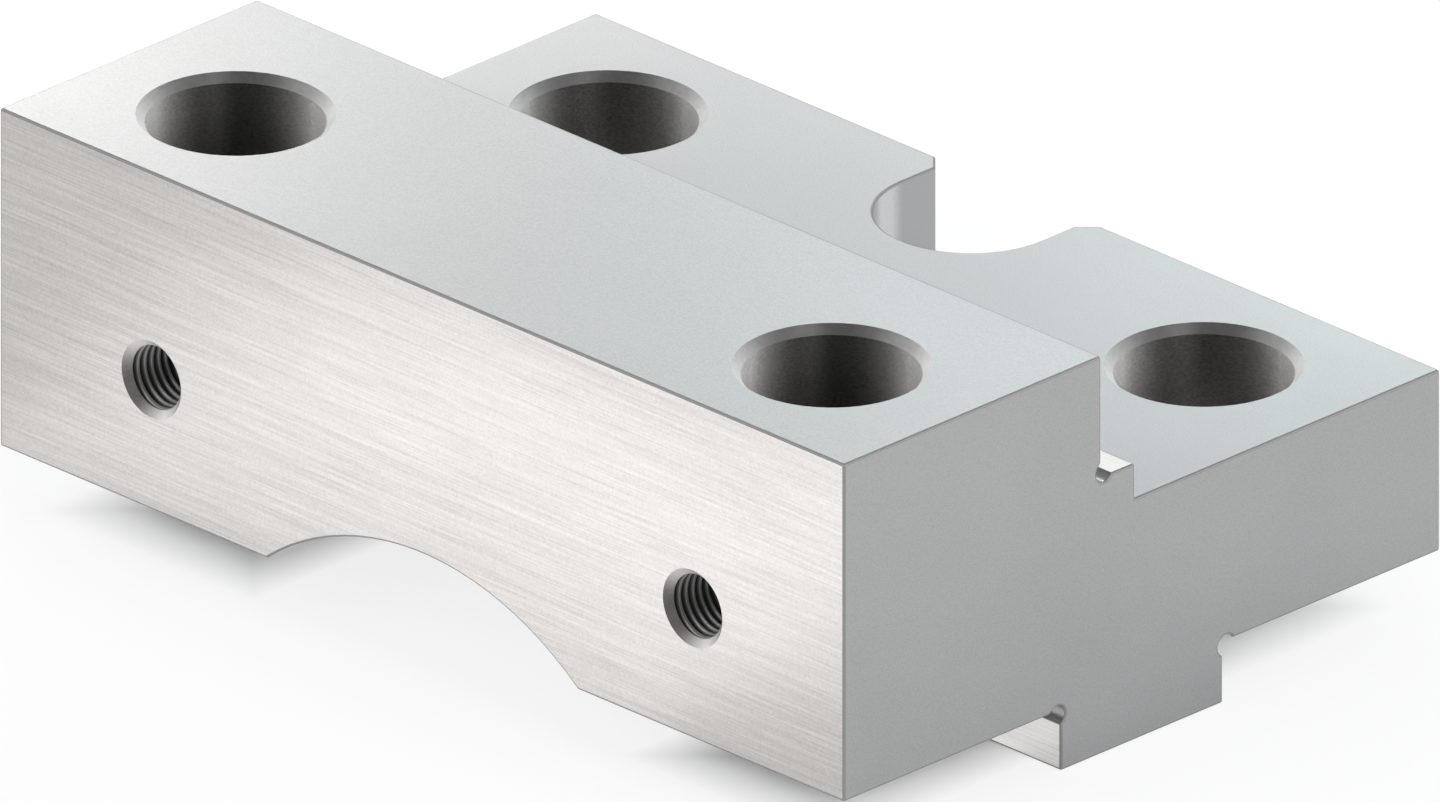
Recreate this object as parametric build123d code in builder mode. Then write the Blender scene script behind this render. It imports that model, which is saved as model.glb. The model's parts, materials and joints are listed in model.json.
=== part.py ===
from build123d import *
import os

# Overall size: X is the length, Y the depth from gripping face to back face, Z is up
length = 85.0
depth = 60.0
edge_break = 0.18

# Stepped section: a tall front block, a narrow ledge behind it and a low shelf
block_depth = 25.9
block_height = 26.5
ledge_width = 3.4
ledge_rise = 2.75
shelf_thickness = 14.2

# Locating tongue that runs along the underside, halfway between front and back
tongue_width = 16.3
tongue_height = 4.75

# Round relief groove along each inside corner, its centre a little way out of the steel
relief_radius = 0.8
relief_offset = 0.36

# Arched channel across the underside, from front to back
arch_radius = 25.0
arch_rise = 5.5

# Round-ended notch in the back of the shelf, with a bevelled mouth
notch_width = 14.0
notch_reach = 11.7
notch_bevel = 1.3

# Four vertical clearance bores, two through the block and two through the shelf
bore_diameter = 13.0
bore_chamfer = 0.65
bore_spacing_x = 60.0
bore_spacing_y = 37.5

# Two countersunk thread cores in the gripping face, which open into the front bores
core_diameter = 4.9
countersink_diameter = 6.0
countersink_angle = 90.0
core_spacing = 54.5
core_height = 10.2

# Levels and lines that the features share
front_y = -depth / 2
back_y = depth / 2
land_z = tongue_height
shelf_z = land_z + shelf_thickness
ledge_z = shelf_z + ledge_rise
block_back_y = front_y + block_depth
front_row_y = -bore_spacing_y / 2
notch_centre_y = back_y - notch_reach + notch_width / 2
gripping_face = Plane(origin=(0, front_y, land_z), x_dir=(1, 0, 0), z_dir=(0, -1, 0))

with BuildPart() as finger_jaw:
    # Section of the bar, with the relief grooves
    with BuildSketch(Plane.YZ):
        with Locations((front_y, land_z)):
            Rectangle(block_depth, block_height, align=Align.MIN)
            Rectangle(block_depth + ledge_width, shelf_thickness + ledge_rise, align=Align.MIN)
            Rectangle(depth, shelf_thickness, align=Align.MIN)
        Rectangle(tongue_width, shelf_z, align=(Align.CENTER, Align.MIN))
        with Locations(
            (block_back_y + relief_offset, ledge_z + relief_offset),
            (-tongue_width / 2 - relief_offset, land_z - relief_offset),
            (tongue_width / 2 + relief_offset, land_z - relief_offset),
        ):
            Circle(relief_radius, mode=Mode.SUBTRACT)
    extrude(amount=length / 2, both=True)

    # Arched channel
    with BuildSketch(Plane.XZ):
        with Locations((0, land_z + arch_rise - arch_radius)):
            Circle(arch_radius)
    extrude(amount=depth / 2, both=True, mode=Mode.SUBTRACT)

    # Notch and its bevelled mouth
    with BuildSketch(Plane.XY.offset(shelf_z)):
        with Locations((0, notch_centre_y)):
            Circle(notch_width / 2)
            Rectangle(notch_width, back_y - notch_centre_y, align=(Align.CENTER, Align.MIN))
    extrude(amount=-shelf_thickness, mode=Mode.SUBTRACT)
    mouth_edges = finger_jaw.edges().filter_by(Axis.Z).group_by(Axis.Y)[-1].sort_by(Axis.X)[1:-1]
    chamfer(mouth_edges, notch_bevel)

    # Every outside edge is rounded a little
    fillet(finger_jaw.edges().filter_by(lambda edge: not edge.is_interior), edge_break)

    # Clearance bores, chamfered at both ends
    with GridLocations(bore_spacing_x, bore_spacing_y, 2, 2):
        Hole(bore_diameter / 2)
    chamfer(finger_jaw.edges(Select.LAST).filter_by(GeomType.CIRCLE), bore_chamfer)

    # Thread cores
    with Locations(gripping_face):
        with Locations((0, core_height)):
            with GridLocations(core_spacing, 0, 2, 1):
                CounterSinkHole(
                    core_diameter / 2,
                    countersink_diameter / 2,
                    depth=front_row_y - front_y,
                    counter_sink_angle=countersink_angle,
                )

finger_jaw.part.label = "finger_jaw"

os.makedirs("parts", exist_ok=True)
export_step(finger_jaw.part, "parts/finger_jaw.step")
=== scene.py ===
import json
import math

import bmesh
import bpy
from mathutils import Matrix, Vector


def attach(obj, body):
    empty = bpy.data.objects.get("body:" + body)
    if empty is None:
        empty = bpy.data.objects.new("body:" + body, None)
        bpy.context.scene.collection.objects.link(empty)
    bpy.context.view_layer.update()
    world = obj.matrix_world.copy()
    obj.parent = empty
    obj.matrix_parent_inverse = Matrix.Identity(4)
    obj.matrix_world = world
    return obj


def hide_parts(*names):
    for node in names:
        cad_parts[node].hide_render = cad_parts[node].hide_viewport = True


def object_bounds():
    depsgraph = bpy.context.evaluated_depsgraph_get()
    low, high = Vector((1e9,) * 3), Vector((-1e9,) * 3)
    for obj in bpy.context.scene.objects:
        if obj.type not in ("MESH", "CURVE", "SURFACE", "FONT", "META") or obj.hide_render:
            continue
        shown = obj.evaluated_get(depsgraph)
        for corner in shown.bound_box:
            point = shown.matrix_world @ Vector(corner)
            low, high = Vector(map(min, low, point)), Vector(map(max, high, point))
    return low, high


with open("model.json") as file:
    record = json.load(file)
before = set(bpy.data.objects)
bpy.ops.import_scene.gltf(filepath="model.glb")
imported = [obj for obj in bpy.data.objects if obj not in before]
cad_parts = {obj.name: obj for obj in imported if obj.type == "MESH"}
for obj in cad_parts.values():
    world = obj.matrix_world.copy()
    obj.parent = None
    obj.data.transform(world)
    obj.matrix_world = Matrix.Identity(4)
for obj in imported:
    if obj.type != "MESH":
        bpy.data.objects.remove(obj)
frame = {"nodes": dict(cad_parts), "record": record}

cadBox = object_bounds()
scene = bpy.context.scene
print("frame loaded:", ", ".join(frame["nodes"]))

# Places and sizes that the record gives for the mounts, in metres
mounts = {mount["name"]: mount for mount in frame["record"]["mounts"]}
mm = 0.001
grippingFace = mounts["gripping_face"]["pos_m"][1]
landLevel = mounts["front_land"]["pos_m"][2]
tappedAside, tappedLevel = mounts["right_thread"]["pos_m"][0], mounts["right_thread"]["pos_m"][2]
coreRadius = mounts["right_thread"]["dims"]["r_mm"] * mm
boreAside = mounts["clearance_bores"]["dims"]["spacing_x_mm"] / 2 * mm
boreRow = mounts["clearance_bores"]["dims"]["spacing_y_mm"] / 2 * mm
boreRadius = mounts["clearance_bores"]["dims"]["hole_r_mm"] * mm


# A socket that shader and geometry maths can be written with, such as 1 - mask * 0.5
class Wire:
    def __init__(self, bench, socket):
        self.bench = bench
        self.socket = socket

    def math(self, operation, *values, clamp=False):
        settings = {"operation": operation, "use_clamp": clamp}
        return self.bench.node("ShaderNodeMath", settings, dict(enumerate(values)))

    def vector(self, operation, values=None, out="Vector"):
        inputs = {0: self, **(values or {})}
        return self.bench.node("ShaderNodeVectorMath", {"operation": operation}, inputs, out)

    def axis(self, name):
        return self.bench.node("ShaderNodeSeparateXYZ", {}, {"Vector": self}, name)

    def __add__(self, other):
        return self.math("ADD", self, other)

    def __radd__(self, other):
        return self.math("ADD", other, self)

    def __sub__(self, other):
        return self.math("SUBTRACT", self, other)

    def __rsub__(self, other):
        return self.math("SUBTRACT", other, self)

    def __mul__(self, other):
        return self.math("MULTIPLY", self, other)

    def __rmul__(self, other):
        return self.math("MULTIPLY", other, self)

    def __truediv__(self, other):
        return self.math("DIVIDE", self, other)

    def __rtruediv__(self, other):
        return self.math("DIVIDE", other, self)

    def __pow__(self, other):
        return self.math("POWER", self, other)

    def __neg__(self):
        return self.math("MULTIPLY", self, -1)

    def __abs__(self):
        return self.math("ABSOLUTE", self)

    def sign(self):
        return self.math("SIGN", self)

    def largest(self, other):
        return self.math("MAXIMUM", self, other)

    def held(self):
        return self.math("ADD", self, 0, clamp=True)  # kept between 0 and 1


# Adds nodes to one tree
class Bench:
    def __init__(self, tree):
        self.tree = tree

    def node(self, kind, settings=None, values=None, out=0):
        made = self.tree.nodes.new(kind)
        for name, value in (settings or {}).items():
            setattr(made, name, value)
        for name, value in (values or {}).items():
            socket = made.inputs[name]
            if isinstance(value, Wire):
                self.tree.links.new(value.socket, socket)
            elif socket.type == "RGBA" and len(value) == 3:
                socket.default_value = (*value, 1)
            else:
                socket.default_value = value
        return Wire(self, made.outputs[out])


# Camera: a parallel view, 45 degrees round and 25 degrees up, as in the photograph
cameraPlan = {
    "azimuth": 45,
    "elevation": 25,
    "pictureWidth": 0.10253,
    "aim": (-0.003345, 0.003354, 0.010158),
    "distance": 0.6,
    "nearest": 0.01,
    "farthest": 20,
}


def placeCamera(plan):
    turn, lift = math.radians(plan["azimuth"]), math.radians(plan["elevation"])
    toward = Vector((math.sin(turn) * math.cos(lift), -math.cos(turn) * math.cos(lift), math.sin(lift)))
    lens = bpy.data.cameras.new("camera")
    lens.type = "ORTHO"
    lens.ortho_scale = plan["pictureWidth"]
    lens.clip_start, lens.clip_end = plan["nearest"], plan["farthest"]
    camera = bpy.data.objects.new("camera", lens)
    camera.location = Vector(plan["aim"]) + toward * plan["distance"]
    camera.rotation_mode = "QUATERNION"
    camera.rotation_quaternion = (-toward).to_track_quat("-Z", "Y")
    scene.collection.objects.link(camera)
    scene.camera = camera


placeCamera(cameraPlan)
print("camera placed")


# What the finishes have in common. Their sizes are in metres and their colours linear. A share says how
# strongly a pattern moves the colour from dark to light, and a swing how far it moves the roughness.
black = (0, 0, 0)
middle = 0.5  # of a cloudy pattern, and of the way from dark to light
bumpStrength = 0.5


def newMaterial(name):
    material = bpy.data.materials.new(name)
    material.use_nodes = True
    material.node_tree.nodes.clear()
    bench = Bench(material.node_tree)
    return material, bench, bench.node("ShaderNodeTexCoord", out="Object")


def closeMaterial(bench, shader):
    end = bench.tree.nodes.new("ShaderNodeOutputMaterial")
    bench.tree.links.new(shader.socket, end.inputs["Surface"])


def cloudiness(bench, place, size, detail):
    return bench.node("ShaderNodeTexNoise", {}, {"Vector": place, "Scale": 1 / size, "Detail": detail})


def stretched(bench, place, scale):
    return bench.node("ShaderNodeMapping", {}, {"Vector": place, "Scale": scale})


# How far a cloudy pattern strays from its middle
def stray(pattern):
    return pattern - middle


def blendColour(bench, share, dark, light):
    return bench.node("ShaderNodeMix", {"data_type": "RGBA"}, {0: share, 6: dark, 7: light}, 2)


def blendShader(bench, share, first, second):
    return bench.node("ShaderNodeMixShader", {}, {0: share, 1: first, 2: second})


def metalShader(bench, colour, roughness, height, depth):
    bump = bench.node("ShaderNodeBump", {}, {"Strength": bumpStrength, "Distance": depth, "Height": height})
    return bench.node("ShaderNodeBsdfPrincipled", {}, {
        "Base Color": colour, "Metallic": 1.0, "Roughness": roughness, "Normal": bump})


# The pale haze of a rough cut, with no gloss of its own
def hazeShader(bench, colour):
    return bench.node("ShaderNodeBsdfPrincipled", {}, {
        "Base Color": colour, "Metallic": 0.0, "Roughness": 1.0, "Specular IOR Level": 0.0})


# Fine satin: an even, very small grain with faint cloudy patches, and a painted shade that darkens the shelf
# towards the step
satinLook = {
    "dark": (0.350, 0.350, 0.352),
    "light": (0.420, 0.420, 0.422),
    "roughness": 0.42,
    "roughnessSwing": 0.08,
    "grainSize": 0.00012,
    "grainShare": 2.2,
    "patchSize": 0.012,
    "patchShare": 0.6,
    "bumpDepth": 0.000004,
    "shelfLevel": 0.0200,
    "levelBlend": 0.0005,
    "stepShadeReach": 0.028,
    "stepShadeFalloff": 0.75,
    "stepShadeShare": 0.19,
}


def satinSteel(look):
    material, bench, place = newMaterial("satinSteel")
    grain = cloudiness(bench, place, look["grainSize"], detail=1)
    patch = cloudiness(bench, place, look["patchSize"], detail=2)
    share = (middle + stray(grain) * look["grainShare"] + stray(patch) * look["patchShare"]).held()
    upward = bench.node("ShaderNodeTexCoord", out="Normal").axis("Z").held()
    # Painted shade: on the shelf the colour darkens towards the step
    onShelf = upward * ((look["shelfLevel"] - place.axis("Z")) / look["levelBlend"]).held()
    nearStep = (1 - place.axis("Y") / look["stepShadeReach"]).held()
    paintedStepShade = nearStep ** look["stepShadeFalloff"] * look["stepShadeShare"] * onShelf
    colour = blendColour(bench, paintedStepShade, blendColour(bench, share, look["dark"], look["light"]), black)
    roughness = look["roughness"] + stray(patch) * look["roughnessSwing"]
    closeMaterial(bench, metalShader(bench, colour, roughness, grain, look["bumpDepth"]))
    return material


# Ground along the length: three widths of straight line, each running out after a while, over faint patches
# and a fine speckle
groundLook = {
    "roughnessSwing": 0.1,
    "lines": {
        "fine": {"width": 0.00009, "length": 0.006, "share": 0.9},
        "wider": {"width": 0.000198, "length": 0.0096, "share": 0.65},
        "broad": {"width": 0.00081, "length": 0.024, "share": 0.28},
    },
    "patchSize": 0.016,
    "patchStretch": (0.4, 1, 1),
    "patchShare": 0.4,
    "speckleSize": 0.00016,
    "speckleShare": 0.6,
    "bumpDepth": 0.000004,
}
groundFaces = {
    "groundSteel": {"dark": (0.430, 0.412, 0.401), "light": (0.595, 0.573, 0.558), "roughness": 0.40},
    # Painted light: the tongue's ground steel is much lighter than the gripping face's, for the brightness
    # its front face shows
    "paintedLightTongueSteel": {"dark": (0.77, 0.755, 0.75), "light": (0.96, 0.945, 0.94), "roughness": 0.38},
    "ledgeSteel": {"dark": (0.437, 0.423, 0.40), "light": (0.558, 0.54, 0.513), "roughness": 0.40},
}


def groundSteel(name, look, face):
    material, bench, place = newMaterial(name)
    lines, lined = {}, 0
    for kind, line in look["lines"].items():
        drawnOut = stretched(bench, place, (line["width"] / line["length"], 1, 1))
        lines[kind] = cloudiness(bench, drawnOut, line["width"], detail=0)
        lined = lined + stray(lines[kind]) * line["share"]
    patch = cloudiness(bench, stretched(bench, place, look["patchStretch"]), look["patchSize"], detail=1)
    speckle = cloudiness(bench, place, look["speckleSize"], detail=0)
    share = middle + lined + stray(patch) * look["patchShare"] + stray(speckle) * look["speckleShare"]
    colour = blendColour(bench, share.held(), face["dark"], face["light"])
    roughness = face["roughness"] + stray(lines["wider"]) * look["roughnessSwing"]
    closeMaterial(bench, metalShader(bench, colour, roughness, lines["fine"], look["bumpDepth"]))
    return material


# Bored or chamfered: a fine grain, and the pale haze that such a cut shows where the eye skims along it, with
# a painted highlight streak down one line and painted light that makes one side a little paler
boredCuts = {
    "boreSteel": {
        "dark": (0.11, 0.105, 0.10),
        "light": (0.21, 0.205, 0.20),
        "roughness": 0.28,
        "grainSize": 0.00016,
        "darkHaze": (0.74, 0.715, 0.69),
        "lightHaze": (0.98, 0.96, 0.94),
        "hazeFalloff": 2.0,
        "hazeGain": 1.75,
        "mostHaze": 0.5,
        "paintedStreakFalloff": 80,
        "paintedStreakShare": 0.035,
        "paintedSideLightShare": 0.10,
    },
    "chamferSteel": {
        "dark": (0.072, 0.07, 0.07),
        "light": (0.092, 0.09, 0.09),
        "roughness": 0.32,
        "grainSize": 0.0003,
        "darkHaze": (0.80, 0.79, 0.78),
        "lightHaze": (0.90, 0.888, 0.88),
        "hazeFalloff": 1.15,
        "hazeGain": 1.0,
        "mostHaze": 0.66,
        "paintedStreakFalloff": 120,
        "paintedStreakShare": 0.05,
        "paintedSideLightShare": 0.12,
    },
}
boredLook = {
    "roughnessSwing": 0.06,
    "grainStretch": (0.6, 0.6, 1),
    "grainShare": 1.8,
    "patchSize": 0.005,
    "patchShare": 0.4,
    "bumpDepth": 0.000001,
    "paintedStreakAngle": -33,
    "paintedSideLightAngle": 45,
}


# How squarely an upright wall or cone looks in a compass direction, from -1 to 1
def towards(bench, angle):
    level = bench.node("ShaderNodeTexCoord", out="Normal").vector("MULTIPLY", {1: (1, 1, 0)})
    direction = (math.cos(math.radians(angle)), math.sin(math.radians(angle)), 0)
    return level.vector("NORMALIZE").vector("DOT_PRODUCT", {1: direction}, out="Value")


def boredSteel(name, look, cut):
    material, bench, place = newMaterial(name)
    grain = cloudiness(bench, stretched(bench, place, look["grainStretch"]), cut["grainSize"], detail=1)
    patch = cloudiness(bench, place, look["patchSize"], detail=1)
    share = (middle + stray(grain) * look["grainShare"] + stray(patch) * look["patchShare"]).held()
    roughness = cut["roughness"] + stray(patch) * look["roughnessSwing"]
    colour = blendColour(bench, share, cut["dark"], cut["light"])
    wall = metalShader(bench, colour, roughness, grain, look["bumpDepth"])
    haze = hazeShader(bench, blendColour(bench, share, cut["darkHaze"], cut["lightHaze"]))
    skim = bench.node("ShaderNodeLayerWeight", out="Facing") ** cut["hazeFalloff"] * cut["hazeGain"]
    # Painted highlight: a streak where the wall faces one compass direction, and painted light paler on one
    # side
    paintedStreak = towards(bench, look["paintedStreakAngle"]).held() ** cut["paintedStreakFalloff"] * cut["paintedStreakShare"]
    paintedSideLight = 1 - towards(bench, look["paintedSideLightAngle"]) * cut["paintedSideLightShare"]
    hazy = ((skim + paintedStreak) * paintedSideLight / cut["mostHaze"]).held() * cut["mostHaze"]
    closeMaterial(bench, blendShader(bench, hazy, wall, haze))
    return material


# Arch and relief grooves: tool marks that run from front to back
archLook = {
    "dark": (0.40, 0.40, 0.40),
    "light": (0.50, 0.50, 0.50),
    "roughness": 0.36,
    "roughnessSwing": 0.1,
    "markSize": 0.00020,
    "markStretch": (1, 0.02, 1),
    "markShare": 1.0,
    "patchSize": 0.006,
    "patchShare": 0.6,
    "bumpDepth": 0.000004,
}


def archSteel(look):
    material, bench, place = newMaterial("archSteel")
    marks = cloudiness(bench, stretched(bench, place, look["markStretch"]), look["markSize"], detail=2)
    patch = cloudiness(bench, place, look["patchSize"], detail=2)
    share = (middle + stray(marks) * look["markShare"] + stray(patch) * look["patchShare"]).held()
    roughness = look["roughness"] + stray(marks) * look["roughnessSwing"]
    colour = blendColour(bench, share, look["dark"], look["light"])
    closeMaterial(bench, metalShader(bench, colour, roughness, marks, look["bumpDepth"]))
    return material


# Notch: its round end is smoother, and brighter than its flat sides through a painted highlight
notchLook = {
    "dark": (0.38, 0.385, 0.395),
    "light": (0.55, 0.56, 0.57),
    "roughness": 0.42,
    "roundRoughness": 0.26,
    "grainSize": 0.00013,
    "grainShare": 0.6,
    "bumpDepth": 0.000001,
    "roundStart": 0.0254,
    "roundBlend": 0.0012,
}


def notchSteel(look):
    material, bench, place = newMaterial("notchSteel")
    grain = cloudiness(bench, place, look["grainSize"], detail=1)
    rounded = ((look["roundStart"] - place.axis("Y")) / look["roundBlend"]).held()
    roughness = look["roughness"] + rounded * (look["roundRoughness"] - look["roughness"])
    # Painted highlight: the colour lightens towards the round end
    share = (rounded + stray(grain) * look["grainShare"]).held()
    colour = blendColour(bench, share, look["dark"], look["light"])
    closeMaterial(bench, metalShader(bench, colour, roughness, grain, look["bumpDepth"]))
    return material


# Small cuts, that is threads, countersinks and broken edges: a coarser grain, and haze all over
smallCutLook = {
    "roughnessSwing": 0.1,
    "bumpDepth": 0.000003,
}


def smallCutSteel(bench, look, grain, colour, hazeColour):
    roughness = look["roughness"] + stray(grain) * smallCutLook["roughnessSwing"]
    metal = metalShader(bench, colour, roughness, grain, smallCutLook["bumpDepth"])
    closeMaterial(bench, blendShader(bench, look["hazeShare"], metal, hazeShader(bench, hazeColour)))


# How far a point lies from the axis of its tapped hole, and a painted sheen: two bright sectors opposite each
# other round it
def aroundHole(place, paintedSheenAngle):
    x, z = place.axis("X"), place.axis("Z")
    across, up = x - x.sign() * tappedAside, z - tappedLevel
    reach = (across * across + up * up) ** 0.5
    twice = math.radians(paintedSheenAngle * 2)
    turn = (across * across - up * up) * math.cos(twice) + across * up * (2 * math.sin(twice))
    return reach, turn / (reach * reach) * 0.5 + 0.5


# Threads: painted light along their crests and painted shade down in the roots
threadLook = {
    "dark": (0.05, 0.05, 0.05),
    "light": (0.22, 0.22, 0.22),
    "roughness": 0.36,
    "grainSize": 0.0003,
    "rootHaze": (0.05, 0.05, 0.05),
    "crestHaze": (0.72, 0.69, 0.675),
    "hazeShare": 0.4,
    "rootDepth": 0.0003,
    "crestFalloff": 2.6,
    "paintedSheenAngle": 110,
    "paintedSheenBase": 0.6,
}


def threadSteel(look):
    material, bench, place = newMaterial("threadSteel")
    reach, paintedSheen = aroundHole(place, look["paintedSheenAngle"])
    # Painted light and shade: crests lighter, roots darker, and brighter in the painted sheen sectors
    crest = (1 - (reach - coreRadius) / look["rootDepth"]).held() ** look["crestFalloff"]
    paintedLight = crest * (look["paintedSheenBase"] + paintedSheen * (1 - look["paintedSheenBase"]))
    grain = cloudiness(bench, place, look["grainSize"], detail=2)
    colour = blendColour(bench, paintedLight, look["dark"], look["light"])
    hazeColour = blendColour(bench, paintedLight, look["rootHaze"], look["crestHaze"])
    smallCutSteel(bench, look, grain, colour, hazeColour)
    return material


# Countersinks of the tapped holes, coloured by the painted sheen sectors
coneLook = {
    "dark": (0.035, 0.033, 0.033),
    "light": (0.30, 0.29, 0.29),
    "roughness": 0.36,
    "grainSize": 0.0003,
    "grainShare": 0.15,
    "darkHaze": (0.185, 0.175, 0.171),
    "lightHaze": (0.90, 0.865, 0.85),
    "hazeShare": 0.5,
    "paintedSheenAngle": 119,
    "paintedSheenFalloff": 1.9,
}


def coneSteel(look):
    material, bench, place = newMaterial("coneSteel")
    paintedSheen = aroundHole(place, look["paintedSheenAngle"])[1]
    grain = cloudiness(bench, place, look["grainSize"], detail=2)
    share = (paintedSheen ** look["paintedSheenFalloff"] + stray(grain) * look["grainShare"]).held()
    colour = blendColour(bench, share, look["dark"], look["light"])
    hazeColour = blendColour(bench, share, look["darkHaze"], look["lightHaze"])
    smallCutSteel(bench, look, grain, colour, hazeColour)
    return material


# Broken edges: darker than the faces round them, a painted shade for the dark line their rounds show, and a
# little uneven
edgeLook = {
    "dark": (0.21, 0.21, 0.21),
    "light": (0.26, 0.26, 0.26),
    "roughness": 0.30,
    "grainSize": 0.0006,
    "grainShare": 1.4,
    "haze": (0.25, 0.245, 0.24),
    "hazeShare": 0.65,
}


def paintedShadeEdgeSteel(look):
    material, bench, place = newMaterial("paintedShadeEdgeSteel")
    grain = cloudiness(bench, place, look["grainSize"], detail=2)
    share = (middle + stray(grain) * look["grainShare"]).held()
    colour = blendColour(bench, share, look["dark"], look["light"])
    smallCutSteel(bench, look, grain, colour, look["haze"])
    return material


steels = {"satinSteel": satinSteel(satinLook)}
for name, face in groundFaces.items():
    steels[name] = groundSteel(name, groundLook, face)
for name, cut in boredCuts.items():
    steels[name] = boredSteel(name, boredLook, cut)
steels["archSteel"] = archSteel(archLook)
steels["notchSteel"] = notchSteel(notchLook)
steels["threadSteel"] = threadSteel(threadLook)
steels["coneSteel"] = coneSteel(coneLook)
steels["paintedShadeEdgeSteel"] = paintedShadeEdgeSteel(edgeLook)
print("finishes made:", len(steels))


def addObject(name, data):
    thing = bpy.data.objects.new(name, data)
    scene.collection.objects.link(thing)
    return thing


# Gives the object what its modifiers make as its own plain mesh, and removes them
def settle(thing):
    bpy.context.view_layer.update()
    evaluated = thing.evaluated_get(bpy.context.evaluated_depsgraph_get())
    mesh = bpy.data.meshes.new_from_object(evaluated)
    thing.modifiers.clear()
    thing.data = mesh
    return mesh


# Threads of the two tapped holes: in each core a cutter with the groove's section follows a right-hand helix
threadPlan = {
    "Core Radius": coreRadius,
    "Pitch": 0.0007,
    "Groove Depth": 0.00040,
    "Cut In": 0.0001,
    "Turns": 14.0,
    "Steps per Turn": 48,
    "Start Depth": 0.0005,
    "Start Angle": 0.0,
    "Run In Turns": 0.5,  # until the groove has its full depth
    "Hole Spacing": tappedAside * 2,
    "Hole Height": tappedLevel,
    "Gripping Face": grippingFace,
}
flankAngle = 30
quarterTurn = math.radians(90)


def threadTree(plan):
    tree = bpy.data.node_groups.new("threadCutter", "GeometryNodeTree")
    for name, value in plan.items():
        kind = "NodeSocketInt" if isinstance(value, int) else "NodeSocketFloat"
        tree.interface.new_socket(name, in_out="INPUT", socket_type=kind)
    tree.interface.new_socket("Metal", in_out="INPUT", socket_type="NodeSocketMaterial")
    tree.interface.new_socket("Geometry", in_out="OUTPUT", socket_type="NodeSocketGeometry")
    bench = Bench(tree)
    start = tree.nodes.new("NodeGroupInput")
    size = {socket.name: Wire(bench, socket) for socket in start.outputs if socket.name}

    # Groove section: straight flanks, an eighth of the pitch wide at its root
    root = size["Pitch"] / 8
    tall = size["Groove Depth"] + size["Cut In"]
    mouth = root + tall * (2 * math.tan(math.radians(flankAngle)))
    section = bench.node("GeometryNodeCurvePrimitiveQuadrilateral", {"mode": "TRAPEZOID"}, {
        "Height": tall, "Bottom Width": mouth, "Top Width": root, "Offset": 0.0})
    section = bench.node("GeometryNodeTransform", {}, {"Geometry": section, "Rotation": (0, 0, -quarterTurn)})

    helixRadius = size["Core Radius"] + (size["Groove Depth"] - size["Cut In"]) / 2
    helix = bench.node("GeometryNodeCurveSpiral", {}, {
        "Resolution": size["Steps per Turn"], "Rotations": size["Turns"], "Start Radius": helixRadius,
        "End Radius": helixRadius, "Height": size["Pitch"] * size["Turns"], "Reverse": True})

    # The groove comes out of the open core and dives into its wall over the first part of a turn
    outward = bench.node("GeometryNodeInputPosition").vector("MULTIPLY", {1: (1, 1, 0)}).vector("NORMALIZE")
    along = bench.node("GeometryNodeSplineParameter", out="Factor")
    short = 1 - (along * size["Turns"] / size["Run In Turns"]).held()
    inward = outward.vector("SCALE", {"Scale": -(short * tall)})
    dived = bench.node("GeometryNodeSetPosition", {}, {"Geometry": helix, "Offset": inward})
    upright = bench.node("GeometryNodeSetCurveNormal", {"mode": "Z_UP"}, {"Curve": dived})
    groove = bench.node("GeometryNodeCurveToMesh", {}, {
        "Curve": upright, "Profile Curve": section, "Fill Caps": True})

    # It starts a little way in from the gripping face and runs on into the hole
    spun = bench.node("GeometryNodeTransform", {}, {
        "Geometry": groove, "Rotation": bench.node("ShaderNodeCombineXYZ", {}, {"Z": size["Start Angle"]})})
    inside = bench.node("ShaderNodeCombineXYZ", {}, {"Y": size["Start Depth"]})
    laid = bench.node("GeometryNodeTransform", {}, {
        "Geometry": spun, "Translation": inside, "Rotation": (-quarterTurn, 0, 0)})

    # One groove at each of the two holes
    left = bench.node("ShaderNodeCombineXYZ", {}, {
        "X": size["Hole Spacing"] / -2, "Y": size["Gripping Face"], "Z": size["Hole Height"]})
    step = bench.node("ShaderNodeCombineXYZ", {}, {"X": size["Hole Spacing"]})
    holes = bench.node("GeometryNodeMeshLine", {"mode": "OFFSET"}, {
        "Count": 2, "Start Location": left, "Offset": step})
    both = bench.node("GeometryNodeInstanceOnPoints", {}, {"Points": holes, "Instance": laid})
    real = bench.node("GeometryNodeRealizeInstances", {}, {"Geometry": both})
    painted = bench.node("GeometryNodeSetMaterial", {}, {"Geometry": real, "Material": size["Metal"]})
    end = tree.nodes.new("NodeGroupOutput")
    tree.links.new(painted.socket, end.inputs["Geometry"])
    return tree


def threadCutter(plan, metal):
    thing = addObject("threadCutter", bpy.data.meshes.new("threadCutter"))
    modifier = thing.modifiers.new("threads", "NODES")
    modifier.node_group = threadTree(plan)
    items = modifier.node_group.interface.items_tree
    sockets = {item.name: item.identifier for item in items if item.in_out == "INPUT"}
    for name, value in plan.items():
        modifier[sockets[name]] = value
    modifier[sockets["Metal"]] = metal
    settle(thing)
    return thing


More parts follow.
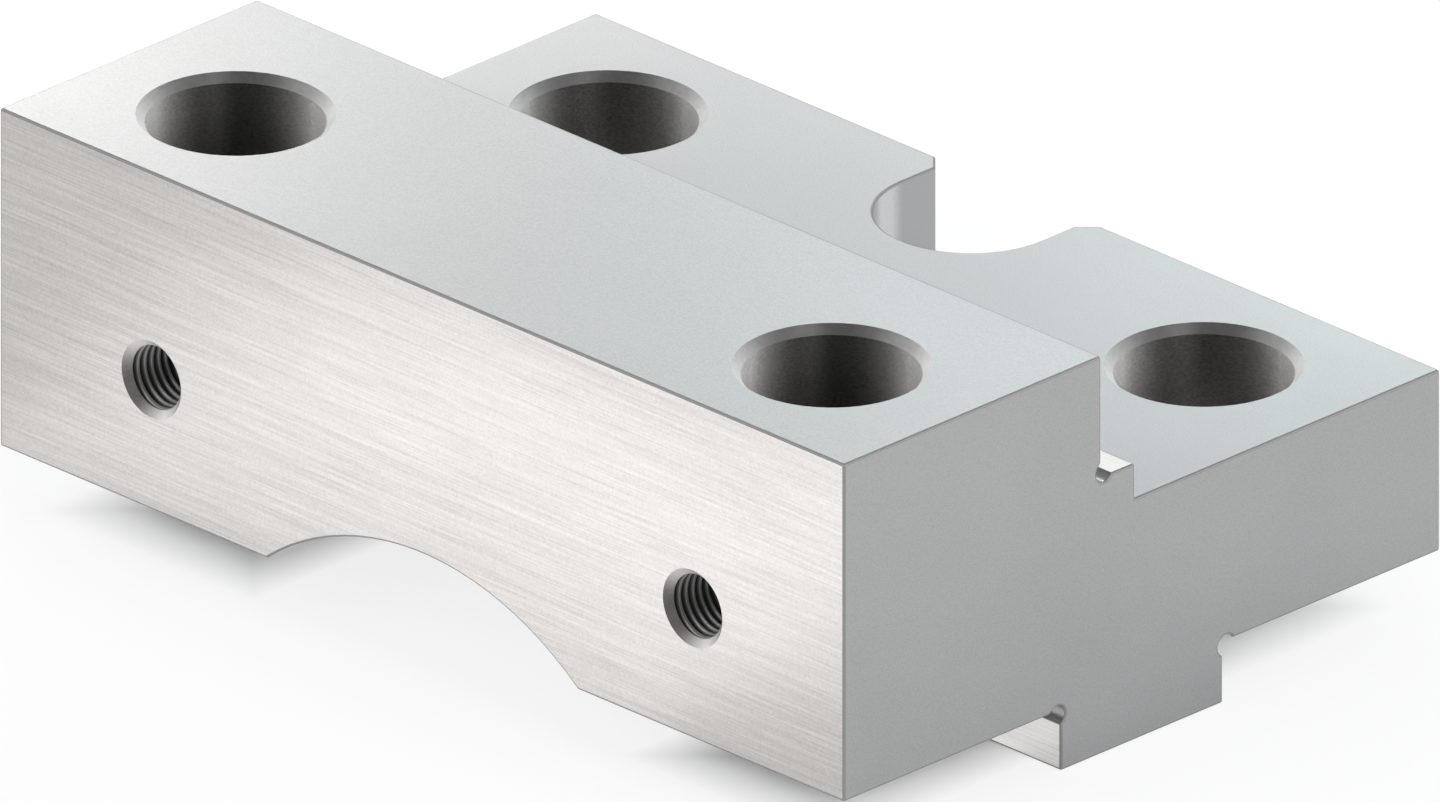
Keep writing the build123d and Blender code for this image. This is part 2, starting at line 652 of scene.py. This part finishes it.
# Jaw: a welded copy of the solid with the threads cut in and a finish on each kind of surface
jawPlan = {
    "ledgeLevel": 0.0217,
    "boreReach": 0.0072,  # a bore with its chamfers lies within this of its axis
    "coreReach": 0.00306,  # a tapped hole lies within this of its axis, and in front of its end
    "coreEnd": -0.0215,
    "countersinkRadius": 0.0030,
    "notchHalfWidth": 0.0084,
    "notchStart": 0.0180,
    "notchEnd": 0.02999,
    "archCentre": (0, -0.01475),
    "archRadius": 0.025,
    "reliefCentres": [(-0.00374, 0.02206), (-0.00851, 0.00439), (0.00851, 0.00439)],
    "reliefRadius": 0.0008,
    "roundSlack": 0.00003,
    "coneSlack": 0.00006,
    "levelSlack": 0.00001,
    "square": 0.9995,  # least part of a normal along X, Y or Z, for a flat face
    "atAxis": 0.99,  # least part of a normal towards the axis, for a round surface
    "facing": 0.9,  # least part of a normal in one direction, for a face that looks that way
    "sloping": 0.3,  # least upward or downward part of a normal, for a chamfer
    "upright": 0.1,  # most upward or downward part of a normal, for a wall
    "weld": 0.000001,
    "closePoints": 0.0000005,
    "sharpAngle": 38,
    "smoothWeight": 100,
}
bores = [(x, y) for x in (-boreAside, boreAside) for y in (-boreRow, boreRow)]
cores = [(-tappedAside, tappedLevel), (tappedAside, tappedLevel)]


def weldedCopy(node, name, gap):
    mesh = bpy.data.meshes.new(name)
    mesh.from_pydata([v.co for v in node.data.vertices], [], [p.vertices for p in node.data.polygons])
    work = bmesh.new()
    work.from_mesh(mesh)
    bmesh.ops.remove_doubles(work, verts=work.verts, dist=gap)
    work.to_mesh(mesh)
    work.free()
    return addObject(name, mesh)


# Whether a face is on a round surface: its middle is one radius from the axis, and it looks straight at it
def onRound(plan, across, up, normalAcross, normalUp, radius):
    reach = math.hypot(across, up)
    looksIn = across * normalAcross + up * normalUp < -plan["atAxis"] * reach
    return abs(reach - radius) < plan["roundSlack"] and looksIn


def onBore(plan, x, y, normal):
    return any(onRound(plan, x - boreX, y - boreY, normal.x, normal.y, boreRadius) for boreX, boreY in bores)


def onArch(plan, x, y, z, normal):
    archX, archZ = plan["archCentre"]
    if onRound(plan, x - archX, z - archZ, normal.x, normal.z, plan["archRadius"]):
        return True
    return any(onRound(plan, y - reliefY, z - reliefZ, normal.y, normal.z, plan["reliefRadius"])
               for reliefY, reliefZ in plan["reliefCentres"])


def finishFor(plan, centre, normal):
    x, y, z = centre
    alongX, alongY, alongZ = [abs(part) for part in normal]
    if onArch(plan, x, y, z, normal):
        return "archSteel"
    if onBore(plan, x, y, normal):
        return "boreSteel"
    nearBore = min(math.hypot(x - boreX, y - boreY) for boreX, boreY in bores)
    nearCore = min(math.hypot(x - coreX, z - coreZ) for coreX, coreZ in cores)
    if nearCore < plan["coreReach"] and y < plan["coreEnd"] and alongY < plan["square"]:
        onCone = abs(nearCore + y - grippingFace - plan["countersinkRadius"]) < plan["coneSlack"]
        return "coneSteel" if onCone else "threadSteel"
    if nearBore < plan["boreReach"] and alongZ < plan["facing"]:
        return "chamferSteel" if alongZ > plan["sloping"] else "boreSteel"
    inNotch = abs(x) < plan["notchHalfWidth"] and plan["notchStart"] < y < plan["notchEnd"]
    if inNotch and alongZ < plan["upright"]:
        return "notchSteel"
    if max(alongX, alongY, alongZ) <= plan["square"]:
        return "paintedShadeEdgeSteel"
    if normal.y < -plan["facing"] and y < grippingFace + plan["levelSlack"]:
        return "groundSteel"
    if alongY > plan["facing"] and z < landLevel:
        return "paintedLightTongueSteel"
    if normal.z > plan["facing"] and abs(z - plan["ledgeLevel"]) < plan["levelSlack"]:
        return "ledgeSteel"
    return "satinSteel"


# Joins the points that the cut left on top of each other, and drops those that only two edges share, because
# they give slivers when the faces are split into triangles
def cleanMesh(mesh, gap):
    work = bmesh.new()
    work.from_mesh(mesh)
    bmesh.ops.remove_doubles(work, verts=work.verts, dist=gap)
    bmesh.ops.dissolve_verts(work, verts=[point for point in work.verts if len(point.link_edges) == 2])
    work.to_mesh(mesh)
    work.free()


# The threads stay crisp where they meet any other surface, so that they don't bend its shading
def sharpenThreads(mesh, threadIndex):
    beside = {}
    for face in mesh.polygons:
        for key in face.edge_keys:
            beside.setdefault(key, set()).add(face.material_index)
    for line in mesh.edges:
        if threadIndex in beside[line.key] and len(beside[line.key]) > 1:
            line.use_edge_sharp = True


def makeJaw(plan):
    thing = weldedCopy(frame["nodes"]["finger_jaw"], "jawBody", plan["weld"])
    for steel in steels.values():
        thing.data.materials.append(steel)
    cutter = threadCutter(threadPlan, steels["threadSteel"])
    cut = thing.modifiers.new("threads", "BOOLEAN")
    cut.operation, cut.solver = "DIFFERENCE", "EXACT"
    cut.material_mode, cut.object = "TRANSFER", cutter
    mesh = settle(thing)
    bpy.data.objects.remove(cutter)
    cleanMesh(mesh, plan["closePoints"])
    print("threads cut:", len(mesh.polygons), "faces")

    order = list(steels)
    for face in mesh.polygons:
        face.material_index = order.index(finishFor(plan, face.center, face.normal))

    mesh.shade_smooth()
    mesh.set_sharp_from_angle(angle=math.radians(plan["sharpAngle"]))
    sharpenThreads(mesh, order.index("threadSteel"))
    smooth = thing.modifiers.new("smooth", "WEIGHTED_NORMAL")
    smooth.keep_sharp = True
    smooth.weight = plan["smoothWeight"]
    settle(thing)
    return thing


jawBody = makeJaw(jawPlan)
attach(jawBody, "root")
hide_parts("finger_jaw")
print("jaw made:", len(jawBody.data.polygons), "faces")


# Floor: pale, and near white to the camera and in the metal, but left to its own shade under the part. In the
# metal it also has a painted shadow beside each end, where it falls back towards its own lit shade.
floorPlan = {
    "size": 8.0,
    "colour": (0.90, 0.90, 0.90),
    "white": (1, 1, 1),
    "whiteness": 0.80,
    "shadeStart": 0.0215,  # along X from the middle, and as far the other way
    "shadeEndSeen": 0.037,
    "shadeEndMirrored": 0.031,
    "shadedDepth": 0.0255,  # along Y from the middle, both ways
    "softness": 0.006,
    "paintedEndShadow": 0.9,
    "endReach": 0.030,
}


def makeFloor(plan):
    half = plan["size"] / 2
    corners = [(-half, -half, 0), (half, -half, 0), (half, half, 0), (-half, half, 0)]
    mesh = bpy.data.meshes.new("floor")
    mesh.from_pydata(corners, [], [(0, 1, 2, 3)])
    material, bench, place = newMaterial("paleFloor")
    camera = bench.node("ShaderNodeLightPath", out="Is Camera Ray")
    glossy = bench.node("ShaderNodeLightPath", out="Is Glossy Ray")
    through = bench.node("ShaderNodeLightPath", out="Is Transmission Ray")
    x, y = abs(place.axis("X")), abs(place.axis("Y"))

    # 0 under the part's two feet, out to the given place, and 1 all round them
    def clearOf(shadeEnd):
        away = (x - shadeEnd).largest(plan["shadeStart"] - x).largest(y - plan["shadedDepth"])
        return (away / plan["softness"] + 0.5).held()

    # Painted shadow in the metal's reflections: the floor's white fades beside each end
    past = x - cadBox[1][0]
    besideEnd = (1 - (past / plan["endReach"]).held()) * (past / plan["softness"] + 1).held()
    mirrored = glossy * (1 - besideEnd * plan["paintedEndShadow"]) * clearOf(plan["shadeEndMirrored"])
    seen = camera.largest(through) * clearOf(plan["shadeEndSeen"])
    share = seen.largest(mirrored) * plan["whiteness"]
    paper = bench.node("ShaderNodeBsdfDiffuse", {}, {"Color": plan["colour"]})
    glow = bench.node("ShaderNodeEmission", {}, {"Color": plan["white"], "Strength": 1.0})
    closeMaterial(bench, blendShader(bench, share, paper, glow))
    mesh.materials.append(material)
    return addObject("floor", mesh)


floor = makeFloor(floorPlan)
print("floor laid")


# Soft studio light: an even grey room, broad panels, and small ones that give the top, the gripping face and
# the end their soft changes of tone. A panel's brightness is its glow, where 1 is white.
warm = (1, 0.99, 0.97)
cool = (0.92, 1, 1.02)
skyGrey = (0.94, 1, 1.01)
lightPlan = {
    "room": 0.27,
    "roomColour": skyGrey,
    "usual": {"at": (0, 0, 0.01), "colour": (1, 1, 1)},
    "panels": {
        "farLeft": {"from": (-0.289, 0.174, 0.161), "at": (-0.109, -0.006, 0.043), "size": (0.07, 0.07),
                    "brightness": 9.4, "colour": warm},
        "midLeft": {"from": (-0.253, 0.197, 0.089), "at": (-0.074, 0.018, -0.029), "size": (0.08, 0.08),
                    "brightness": 4.7, "colour": warm},
        "midRight": {"from": (-0.120, 0.174, 0.161), "at": (0.059, -0.006, 0.043), "size": (0.07, 0.07),
                     "brightness": 4.3, "colour": cool},
        "farRight": {"from": (-0.090, 0.197, 0.089), "at": (0.089, 0.018, -0.029), "size": (0.07, 0.07),
                     "brightness": 1.1, "colour": cool},
        "front": {"from": (-0.30, -0.85, 0.50), "size": (0.60, 0.50), "brightness": 4.0},
        "viewer": {"from": (0.60, -0.60, 0.40), "size": (0.40, 0.40), "brightness": 2.9},
        "right": {"from": (0.90, 0, 0.40), "size": (0.50, 0.40), "brightness": 5.5},
        "rightHigh": {"from": (0.60, 0, 0.70), "size": (0.30, 0.30), "brightness": 2.5},
        "rightBack": {"from": (0.60, 0.60, 0.30), "size": (0.50, 0.40), "brightness": 3.0},
        "back": {"from": (0.05, 0.85, 0.35), "size": (0.80, 0.50), "brightness": 1.6, "colour": skyGrey},
        "left": {"from": (-0.88, 0, 0.28), "size": (0.70, 0.40), "brightness": 2.5},
        "leftHigh": {"from": (-0.55, -0.40, 0.60), "size": (0.50, 0.40), "brightness": 1.3},
        "over": {"from": (0, 0, 0.90), "at": (0, 0.001, 0), "size": (0.60, 0.60), "brightness": 0.9},
        "bounceNear": {"from": (-0.017, -0.046, 0.0006), "at": (-0.017, -0.0461, 1), "size": (0.07, 0.02),
                       "brightness": 0.60},
        "bounceMiddle": {"from": (-0.014, -0.066, 0.0006), "at": (-0.014, -0.0661, 1), "size": (0.08, 0.02),
                         "brightness": 1.6},
        "bounceFar": {"from": (0.010, -0.090, 0.0006), "at": (0.010, -0.0901, 1), "size": (0.06, 0.03),
                      "brightness": 0.7},
        "bounceEnd": {"from": (0.090, 0.016, 0.0006), "at": (0.0901, 0.016, 1), "size": (0.03, 0.04),
                      "brightness": 0.2},
    },
}


def makeLights(plan):
    world = bpy.data.worlds.new("room")
    scene.world = world
    world.use_nodes = True
    room = world.node_tree.nodes["Background"].inputs
    room["Color"].default_value = (*plan["roomColour"], 1)
    room["Strength"].default_value = plan["room"]
    for name, panel in plan["panels"].items():
        panel = {**plan["usual"], **panel}
        wide, tall = panel["size"]
        lamp = bpy.data.lights.new(name, "AREA")
        lamp.shape, lamp.size, lamp.size_y = "RECTANGLE", wide, tall
        lamp.energy = panel["brightness"] * math.pi * wide * tall
        lamp.color = panel["colour"]
        thing = addObject(name, lamp)
        thing.location = panel["from"]
        thing.rotation_mode = "QUATERNION"
        thing.rotation_quaternion = (Vector(panel["at"]) - Vector(panel["from"])).to_track_quat("-Z", "Y")
        thing.visible_camera = False


makeLights(lightPlan)
scene.view_settings.view_transform = "Standard"
print("lights set")
